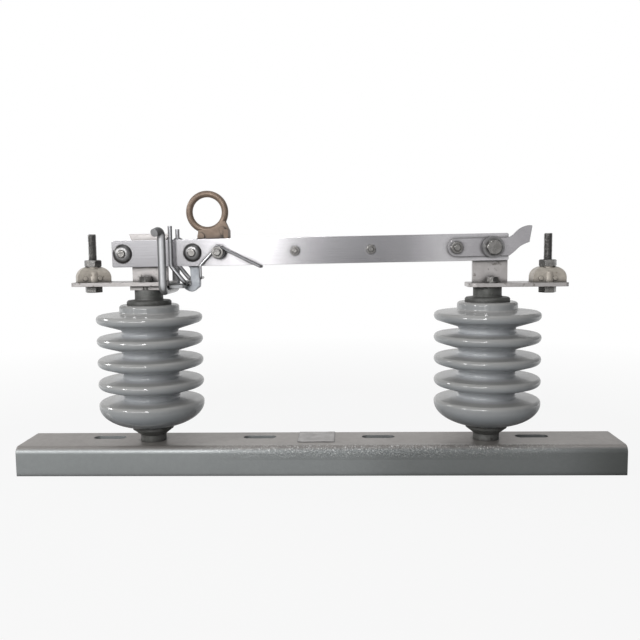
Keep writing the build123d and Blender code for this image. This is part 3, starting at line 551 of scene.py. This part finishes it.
def channelMaterial(look):
    # Dipped channel: smooth front, a lighter top that is painted light from above, and a crinkled run of zinc
    # along the front bend
    material, tree, shader, point = startMaterial("dippedChannel")
    where = split(tree, point)
    # painted light: faces turned up take the lighter top colour
    upward = ramp(tree, split(tree, surfaceNormal(tree))["Z"], *look["topRange"], smooth=True)
    mottle = maths(tree, "ADD", product(tree, blotchMask(tree, point, *look["clouds"]), look["cloudShare"]),
                   product(tree, blotchMask(tree, point, *look["flecks"]), look["fleckShare"]))
    front = mixColour(tree, mottle, look["front"], look["frontSecond"])
    top = mixColour(tree, mottle, look["top"], look["topSecond"])
    colour = mixColour(tree, upward, front, top)
    smears = product(tree, blotchMask(tree, point, *look["smears"]), look["smearShare"])
    colour = mixColour(tree, smears, colour, look["smear"])

    run = look["crinkle"]
    begins = ramp(tree, where["X"], run["from"] - run["fade"], run["from"] + run["fade"])
    ends = ramp(tree, where["X"], run["to"] + run["fade"], run["to"] - run["fade"])
    band = product(tree, begins, ends, ramp(tree, where["Z"], *run["heights"]),
                   ramp(tree, where["Y"], *run["depths"]))
    crinkle = cloudNoise(tree, point, run["scale"], *run["noise"])
    # painted highlight: the crinkle's peaks are painted bright
    peaks = product(tree, ramp(tree, crinkle, *run["peaks"]), band)
    colour = mixColour(tree, peaks, colour, run["speckHighlight"])

    # painted shade: the front, not the top, darkens from the middle toward the right end
    midShade = ramp(tree, where["X"], *look["midShadeRange"], high=look["midShadeShare"], smooth=True)
    endShade = ramp(tree, where["X"], *look["endShadeRange"], high=look["endShadeShare"], smooth=True)
    dark = product(tree, maths(tree, "ADD", endShade, midShade), maths(tree, "SUBTRACT", 1.0, upward))
    colour = mixColour(tree, dark, colour, look["rightEndShade"])
    edges = useGroup(tree, "edges", {"Radius": look["edgeRadius"]})
    # partly wear, partly painted shade: the channel's edges darken
    colour = mixColour(tree, product(tree, edges["Mask"], look["edgeWearAndShade"]), colour, look["edge"])
    # painted shade: the channel darkens in corners and under the parts on it
    grime = useGroup(tree, "aoShade", {"Reach": look["grimeReach"], "Amount": look["grimeShare"]})["Mask"]
    colour = mixColour(tree, grime, colour, look["grime"])

    low, high = look["rough"]
    skin = useGroup(tree, "skin", {"Vector": point, "Scale": look["skin"], "Lumps": look["lumps"]})["Height"]
    bump = addBump(tree, look["bump"], skin, edges["Normal"])
    bump = addBump(tree, run["height"], product(tree, crinkle, band), bump)
    tree.links.new(colour, shader["Base Color"])
    tree.links.new(ramp(tree, mottle, low=low, high=high), shader["Roughness"])
    tree.links.new(bump, shader["Normal"])
    shader["Metallic"].default_value = look["metal"]
    return material


# Painted light and shade on the glaze: it is paler in the valleys, near each insulator's axis and below the
# neck, as painted light, and darker at the bowl, as painted shade
porcelainLook = {
    # painted light and shade: the top colour for faces turned up, the darker under colour for faces turned
    # down
    "top": (0.30, 0.297, 0.288), "under": (0.25, 0.268, 0.282), "upRange": (-0.6, 0.6),
    "pale": (0.35, 0.35, 0.345), "patches": (22.0, 0.5, 0.35), "patchShare": 0.35,
    "axis": 0.203, "valleyRadii": (0.05, 0.035), "neckHeights": (0.187, 0.181), "valley": (0.46, 0.475, 0.49),
    # painted shade at the bowl: its heights, share and colour
    "bowlShadeHeights": (0.077, 0.053), "bowlShadeShare": 0.75, "bowl": (0.10, 0.108, 0.112),
    "pores": (420.0, 0.02, 0.03), "poreShare": 0.5, "pore": (0.08, 0.08, 0.08),
    "ripple": 0.00022, "rippleScale": 60.0, "rippleNoise": (2.0, 0.5), "rough": 0.24, "specular": 0.15,
    "coat": 1.0, "coatRange": (0.55, 0.95), "coatRough": 0.03,
}


def porcelainMaterial(look):
    # Grey glaze: lighter and warmer where it faces up and darker and bluer underneath, as painted light and
    # shade, with a wet coat that ends at the outline
    material, tree, shader, point = startMaterial("greyGlaze")
    where = split(tree, point)
    # painted light and shade: faces turned up take the lighter warm tone, faces turned down the darker blue
    # one
    upward = ramp(tree, split(tree, surfaceNormal(tree))["Z"], *look["upRange"])
    colour = mixColour(tree, upward, look["under"], look["top"])
    patches = product(tree, blotchMask(tree, point, *look["patches"]), look["patchShare"])
    colour = mixColour(tree, patches, colour, look["pale"])
    # painted light: the glaze is paler in the valleys, near the axis and below the neck
    aside = maths(tree, "SUBTRACT", maths(tree, "ABSOLUTE", where["X"]), look["axis"])
    radius = maths(tree, "SQRT", maths(tree, "ADD", product(tree, aside, aside),
                                       product(tree, where["Y"], where["Y"])))
    belowNeck = ramp(tree, where["Z"], *look["neckHeights"])
    valley = product(tree, ramp(tree, radius, *look["valleyRadii"]), belowNeck)
    colour = mixColour(tree, valley, colour, look["valley"])
    # painted shade: the glaze darkens toward the bottom of the bowl
    bowl = ramp(tree, where["Z"], *look["bowlShadeHeights"], high=look["bowlShadeShare"])
    colour = mixColour(tree, bowl, colour, look["bowl"])
    pores = product(tree, blotchMask(tree, point, *look["pores"]), look["poreShare"])
    colour = mixColour(tree, pores, colour, look["pore"])
    ripple = cloudNoise(tree, point, look["rippleScale"], *look["rippleNoise"])
    tree.links.new(colour, shader["Base Color"])
    tree.links.new(addBump(tree, look["ripple"], ripple), shader["Normal"])
    coat = ramp(tree, glancing(tree), *look["coatRange"], low=look["coat"], high=0.0)
    tree.links.new(coat, shader["Coat Weight"])
    shader["Roughness"].default_value = look["rough"]
    shader["Specular IOR Level"].default_value = look["specular"]
    shader["Coat Roughness"].default_value = look["coatRough"]
    return material


materials = {name: metalMaterial(name, look) for name, look in metalFinishes.items()}
materials["porcelain"] = porcelainMaterial(porcelainLook)
materials["channel"] = channelMaterial(channelLook)

# Nodes that look different from the other nodes of their slot
nodeFinish = {
    "base_channel": "channel", "attachment_hook": "dipped_rod", "latch_hook": "cast_hook",
    "stop_strap": "strap_tin", "latch_spring": "zinc", "contact_cups": "cup_steel",
    "latch_pivot_cups": "cup_steel", "pivot_washers": "cup_steel",
}
nodeSlot = {part["node"]: part["material_slot"] for part in frame["record"]["subparts"]}
for nodeName, node in frame["nodes"].items():
    for held in node.material_slots:
        held.material = materials[nodeFinish.get(nodeName, nodeSlot[nodeName])]
print("finishes are on the CAD nodes:", len(frame["nodes"]))

# Pieces that replace or dress the CAD nodes. All of them are on the part that stands still


def addPiece(name, bm, finish, smooth=True):
    bmesh.ops.recalc_face_normals(bm, faces=bm.faces)
    for face in bm.faces:
        face.smooth = smooth
    mesh = bpy.data.meshes.new(name)
    bm.to_mesh(mesh)
    bm.free()
    mesh.materials.append(materials[finish])
    piece = bpy.data.objects.new(name, mesh)
    scene.collection.objects.link(piece)
    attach(piece, "root")
    return piece


def moveBy(bm, verts, x, y, z):
    bmesh.ops.translate(bm, verts=verts, vec=(x, y, z))


def roundEdges(bm, edges, offset, segments):
    bmesh.ops.bevel(bm, geom=edges, offset=offset, affect="EDGES", segments=segments, profile=0.5,
                    material=-1)


def onlyVerts(geometry):
    return [part for part in geometry if isinstance(part, bmesh.types.BMVert)]


glazeShape = {
    "radius": 0.0629, "core": 0.0335, "shoulder": 0.0356, "sheds": 5, "pitch": 0.026, "lowest": 0.046,
    "rim": 0.0088, "rimRound": 0.0041, "rise": 0.0064, "drop": 0.0136, "valleyRound": 0.0026,
    "footHeight": 0.018, "bowlDepth": 0.0275, "bowlFlat": 0.012, "bowlSteps": 14,
    "shoulderRound": 0.0035, "roundSteps": 7, "steps": 160, "merge": 0.000005,
}


def makeGlaze(name, node, shape):
    # Half outline from the bowl up over the sheds, rounded at its corners and spun
    low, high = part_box(node)
    bottom, top = low[2], high[2]
    ground = bottom - shape["footHeight"]
    flat, depth = shape["bowlFlat"], shape["bowlDepth"]
    bm = bmesh.new()
    start = bm.verts.new((flat, 0, bottom))
    arc = bmesh.ops.spin(bm, geom=[start], cent=(flat, 0, bottom + depth), axis=(0, -1, 0),
                         angle=pi / 2, steps=shape["bowlSteps"], use_duplicate=False)
    reach = (shape["radius"] - flat) / depth
    for vert in bm.verts:
        vert.co.x = flat + (vert.co.x - flat) * reach
    half = shape["rim"] / 2
    z = ground + shape["lowest"]
    outline = [(shape["radius"], z + half, "rim"), (shape["core"], z + shape["rise"], "valley")]
    for number in range(1, shape["sheds"]):
        z = ground + shape["lowest"] + number * shape["pitch"]
        root = "shoulder" if number == shape["sheds"] - 1 else "core"
        outline += [(shape["core"], z - shape["drop"], "valley"), (shape["radius"], z - half, "rim"),
                    (shape["radius"], z + half, "rim"), (shape[root], z + shape["rise"], "valley")]
    outline += [(shape["shoulder"], top, "shoulder"), (0, top, "end")]
    corners = {"rim": [], "valley": [], "shoulder": [], "end": []}
    last = arc["geom_last"][0]
    for radius, height, kind in outline:
        vert = bm.verts.new((radius, 0, height))
        bm.edges.new((last, vert))
        corners[kind].append(vert)
        last = vert
    bm.edges.new((bm.verts.new((0, 0, bottom)), start))
    for kind in ("rim", "valley", "shoulder"):
        bmesh.ops.bevel(bm, geom=corners[kind], offset=shape[kind + "Round"], affect="VERTICES",
                        segments=shape["roundSteps"], profile=0.5, material=-1)
    bmesh.ops.spin(bm, geom=bm.verts[:] + bm.edges[:], cent=(0, 0, 0), axis=(0, 0, 1), angle=2 * pi,
                   steps=shape["steps"], use_merge=True, use_duplicate=False)
    bmesh.ops.remove_doubles(bm, verts=bm.verts, dist=shape["merge"])
    moveBy(bm, bm.verts, (low[0] + high[0]) / 2, 0, 0)
    piece = addPiece(name, bm, "porcelain")
    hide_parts(node)


makeGlaze("jawGlaze", "jaw_porcelain", glazeShape)
makeGlaze("hingeGlaze", "hinge_porcelain", glazeShape)
print("porcelains are spun")

# The thread's outline over one pitch: which radius, and how far up the pitch
studShape = {
    "radius": 0.005, "root": 0.0043, "pitch": 0.0015, "steps": 24,
    "outline": (("root", 0.0), ("root", 0.1), ("radius", 0.45), ("radius", 0.6), ("root", 1.0)),
    "spareTurns": 3, "merge": 0.00001, "cut": 0.000001, "tip": 0.0008, "tipTaper": 0.82,
    "flats": 0.018, "headHeight": 0.008, "headRound": 0.0006, "headSteps": 2,
}


def addThread(bm, shape, low, high):
    # One pitch of the outline, spun up a helix, then cut level and closed at both ends
    pitch, steps = shape["pitch"], shape["steps"]
    start = low - pitch
    verts = [bm.verts.new((shape[radius], 0, start + share * pitch)) for radius, share in shape["outline"]]
    edges = [bm.edges.new(pair) for pair in zip(verts, verts[1:])]
    turns = int((high - low) / pitch) + shape["spareTurns"]
    bmesh.ops.spin(bm, geom=verts + edges, cent=(0, 0, 0), axis=(0, 0, 1), dvec=(0, 0, pitch / steps),
                   angle=2 * pi * turns, steps=steps * turns, use_duplicate=False)
    bmesh.ops.remove_doubles(bm, verts=bm.verts, dist=shape["merge"])
    for height, side in ((low, -1), (high, 1)):
        cut = bmesh.ops.bisect_plane(bm, geom=bm.verts[:] + bm.edges[:] + bm.faces[:], dist=shape["cut"],
                                     plane_co=(0, 0, height), plane_no=(0, 0, side), clear_outer=True)
        rim = [part for part in cut["geom_cut"] if isinstance(part, bmesh.types.BMEdge)]
        cap = bmesh.ops.contextual_create(bm, geom=rim)["faces"]
        if side > 0:
            tip = onlyVerts(bmesh.ops.extrude_face_region(bm, geom=cap)["geom"])
            bmesh.ops.delete(bm, geom=cap, context="FACES_ONLY")
            moveBy(bm, tip, 0, 0, shape["tip"])
            bmesh.ops.scale(bm, verts=tip, vec=(shape["tipTaper"], shape["tipTaper"], 1.0))


def makeStud(name, node, shape):
    low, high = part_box(node)
    bm = bmesh.new()
    addThread(bm, shape, low[2] + shape["headHeight"], high[2] - shape["tip"])
    ring = bmesh.ops.create_circle(bm, cap_ends=True, segments=6, radius=shape["flats"] / 2 / cos(pi / 6),
                                   matrix=Matrix.Rotation(pi / 6, 4, "Z"))["verts"]
    moveBy(bm, ring, 0, 0, low[2])
    sole = [face for face in ring[0].link_faces if len(face.verts) == 6]
    head = onlyVerts(bmesh.ops.extrude_face_region(bm, geom=sole)["geom"])
    moveBy(bm, head, 0, 0, shape["headHeight"])
    rims = [edge for edge in bm.edges if all(vert in ring for vert in edge.verts)]
    roundEdges(bm, rims, shape["headRound"], shape["headSteps"])
    moveBy(bm, bm.verts, (low[0] + high[0]) / 2, (low[1] + high[1]) / 2, 0)
    piece = addPiece(name, bm, "steel_fastener", smooth=False)
    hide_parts(node)


makeStud("jawThreadedStud", "jaw_terminal_stud", studShape)
makeStud("hingeThreadedStud", "hinge_terminal_stud", studShape)
print("terminal studs are threaded")

clampShape = {
    "ribRadius": 0.0084, "ribTaper": 0.9, "ribForward": 0.0042, "ribHeight": 0.0135, "ribRound": 0.0022,
    "ribSteps": 40, "roundSteps": 4,
    "bossRadius": 0.0032, "bossTaper": 0.75, "bossRise": 0.0011, "bossHeight": 0.0048, "bossSteps": 24,
    "bosses": (-0.0105, 0.0062), "depth": 0.022,
    "jawTurn": 25.0, "hingeTurn": 0.0,   # degrees
}


def addCone(bm, radius, taper, depth, steps, matrix):
    return bmesh.ops.create_cone(bm, cap_ends=True, segments=steps, radius1=radius, radius2=radius * taper,
                                 depth=depth, matrix=matrix)["verts"]


def makeClampRibs(name, node, turn, shape):
    # Cast ribs in the middle of both faces, each with two small bosses beside its foot
    low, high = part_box(node)
    bm = bmesh.new()
    for side in (-1, 1):
        rib = addCone(bm, shape["ribRadius"], shape["ribTaper"], shape["ribHeight"],
                      shape["ribSteps"], Matrix())
        moveBy(bm, rib, 0, side * shape["ribForward"], shape["ribHeight"] / 2)
        crown = [vert for vert in rib if vert.co.z > shape["ribHeight"] / 2]
        roundEdges(bm, [edge for edge in bm.edges if all(vert in crown for vert in edge.verts)],
                   shape["ribRound"], shape["roundSteps"])
        for x in shape["bosses"]:
            boss = addCone(bm, shape["bossRadius"], shape["bossTaper"], shape["bossRise"] * 2,
                           shape["bossSteps"], Matrix.Rotation(side * -pi / 2, 4, "X"))
            moveBy(bm, boss, -side * x, side * shape["depth"] / 2, shape["bossHeight"])
    bmesh.ops.rotate(bm, verts=bm.verts, cent=(0, 0, 0), matrix=Matrix.Rotation(radians(turn), 3, "Z"))
    moveBy(bm, bm.verts, (low[0] + high[0]) / 2, (low[1] + high[1]) / 2, low[2])
    addPiece(name, bm, "clamp_metal", smooth=False)


makeClampRibs("jawClampRibs", "jaw_clamp", clampShape["jawTurn"], clampShape)
makeClampRibs("hingeClampRibs", "hinge_clamp", clampShape["hingeTurn"], clampShape)

weldShape = {
    "radius": 0.0021, "step": 0.0016, "across": 0.9, "flat": 0.75,
    "wander": 0.0003, "wanderTurn": 2.4,
}
welds = {
    "hookWeld": {"from": (-0.1836, -0.0145, 0.2192), "to": (-0.1836, 0.0145, 0.2192)},
    "keeperWeld": {"from": (-0.1557, -0.0125, 0.2262), "to": (-0.1557, 0.0125, 0.2262)},
}


def makeWeld(name, run, shape):
    # Overlapping drops along the joint
    start, end = Vector(run["from"]), Vector(run["to"])
    count = int((end - start).length / shape["step"])
    bm = bmesh.new()
    for number in range(count + 1):
        drop = bmesh.ops.create_icosphere(bm, subdivisions=2, radius=shape["radius"])["verts"]
        bmesh.ops.scale(bm, verts=drop, vec=(1.0, shape["across"], shape["flat"]))
        wander = shape["wander"] * sin(number * shape["wanderTurn"])
        moveBy(bm, drop, *(start.lerp(end, number / count) + Vector((wander, 0, wander))))
    addPiece(name, bm, "galvanised_steel")


for weldName, weldRun in welds.items():
    makeWeld(weldName, weldRun, weldShape)
print("clamps and welds are dressed")

labelShape = {
    "from": (-0.025, -0.017), "to": (0.0195, 0.031), "lift": 0.00025, "cells": 36,
    "wave": 0.0007, "waveScale": 90.0, "thickness": 0.0002,
}


def makeLabel(shape):
    # A bare foil plate, slightly crumpled, stuck on the base's web
    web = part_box("base_channel")[1][2]
    (x0, y0), (x1, y1) = shape["from"], shape["to"]
    bm = bmesh.new()
    bmesh.ops.create_grid(bm, x_segments=shape["cells"], y_segments=shape["cells"], size=0.5)
    bmesh.ops.scale(bm, verts=bm.verts, vec=(x1 - x0, y1 - y0, 1))
    moveBy(bm, bm.verts, (x0 + x1) / 2, (y0 + y1) / 2, web + shape["lift"])
    for vert in bm.verts:
        vert.co.z += shape["wave"] * (0.5 + 0.5 * noise.noise(vert.co * shape["waveScale"]))
    bmesh.ops.solidify(bm, geom=bm.faces[:], thickness=shape["thickness"])
    addPiece("blankLabel", bm, "label_foil")


makeLabel(labelShape)
print("blank label is laid")
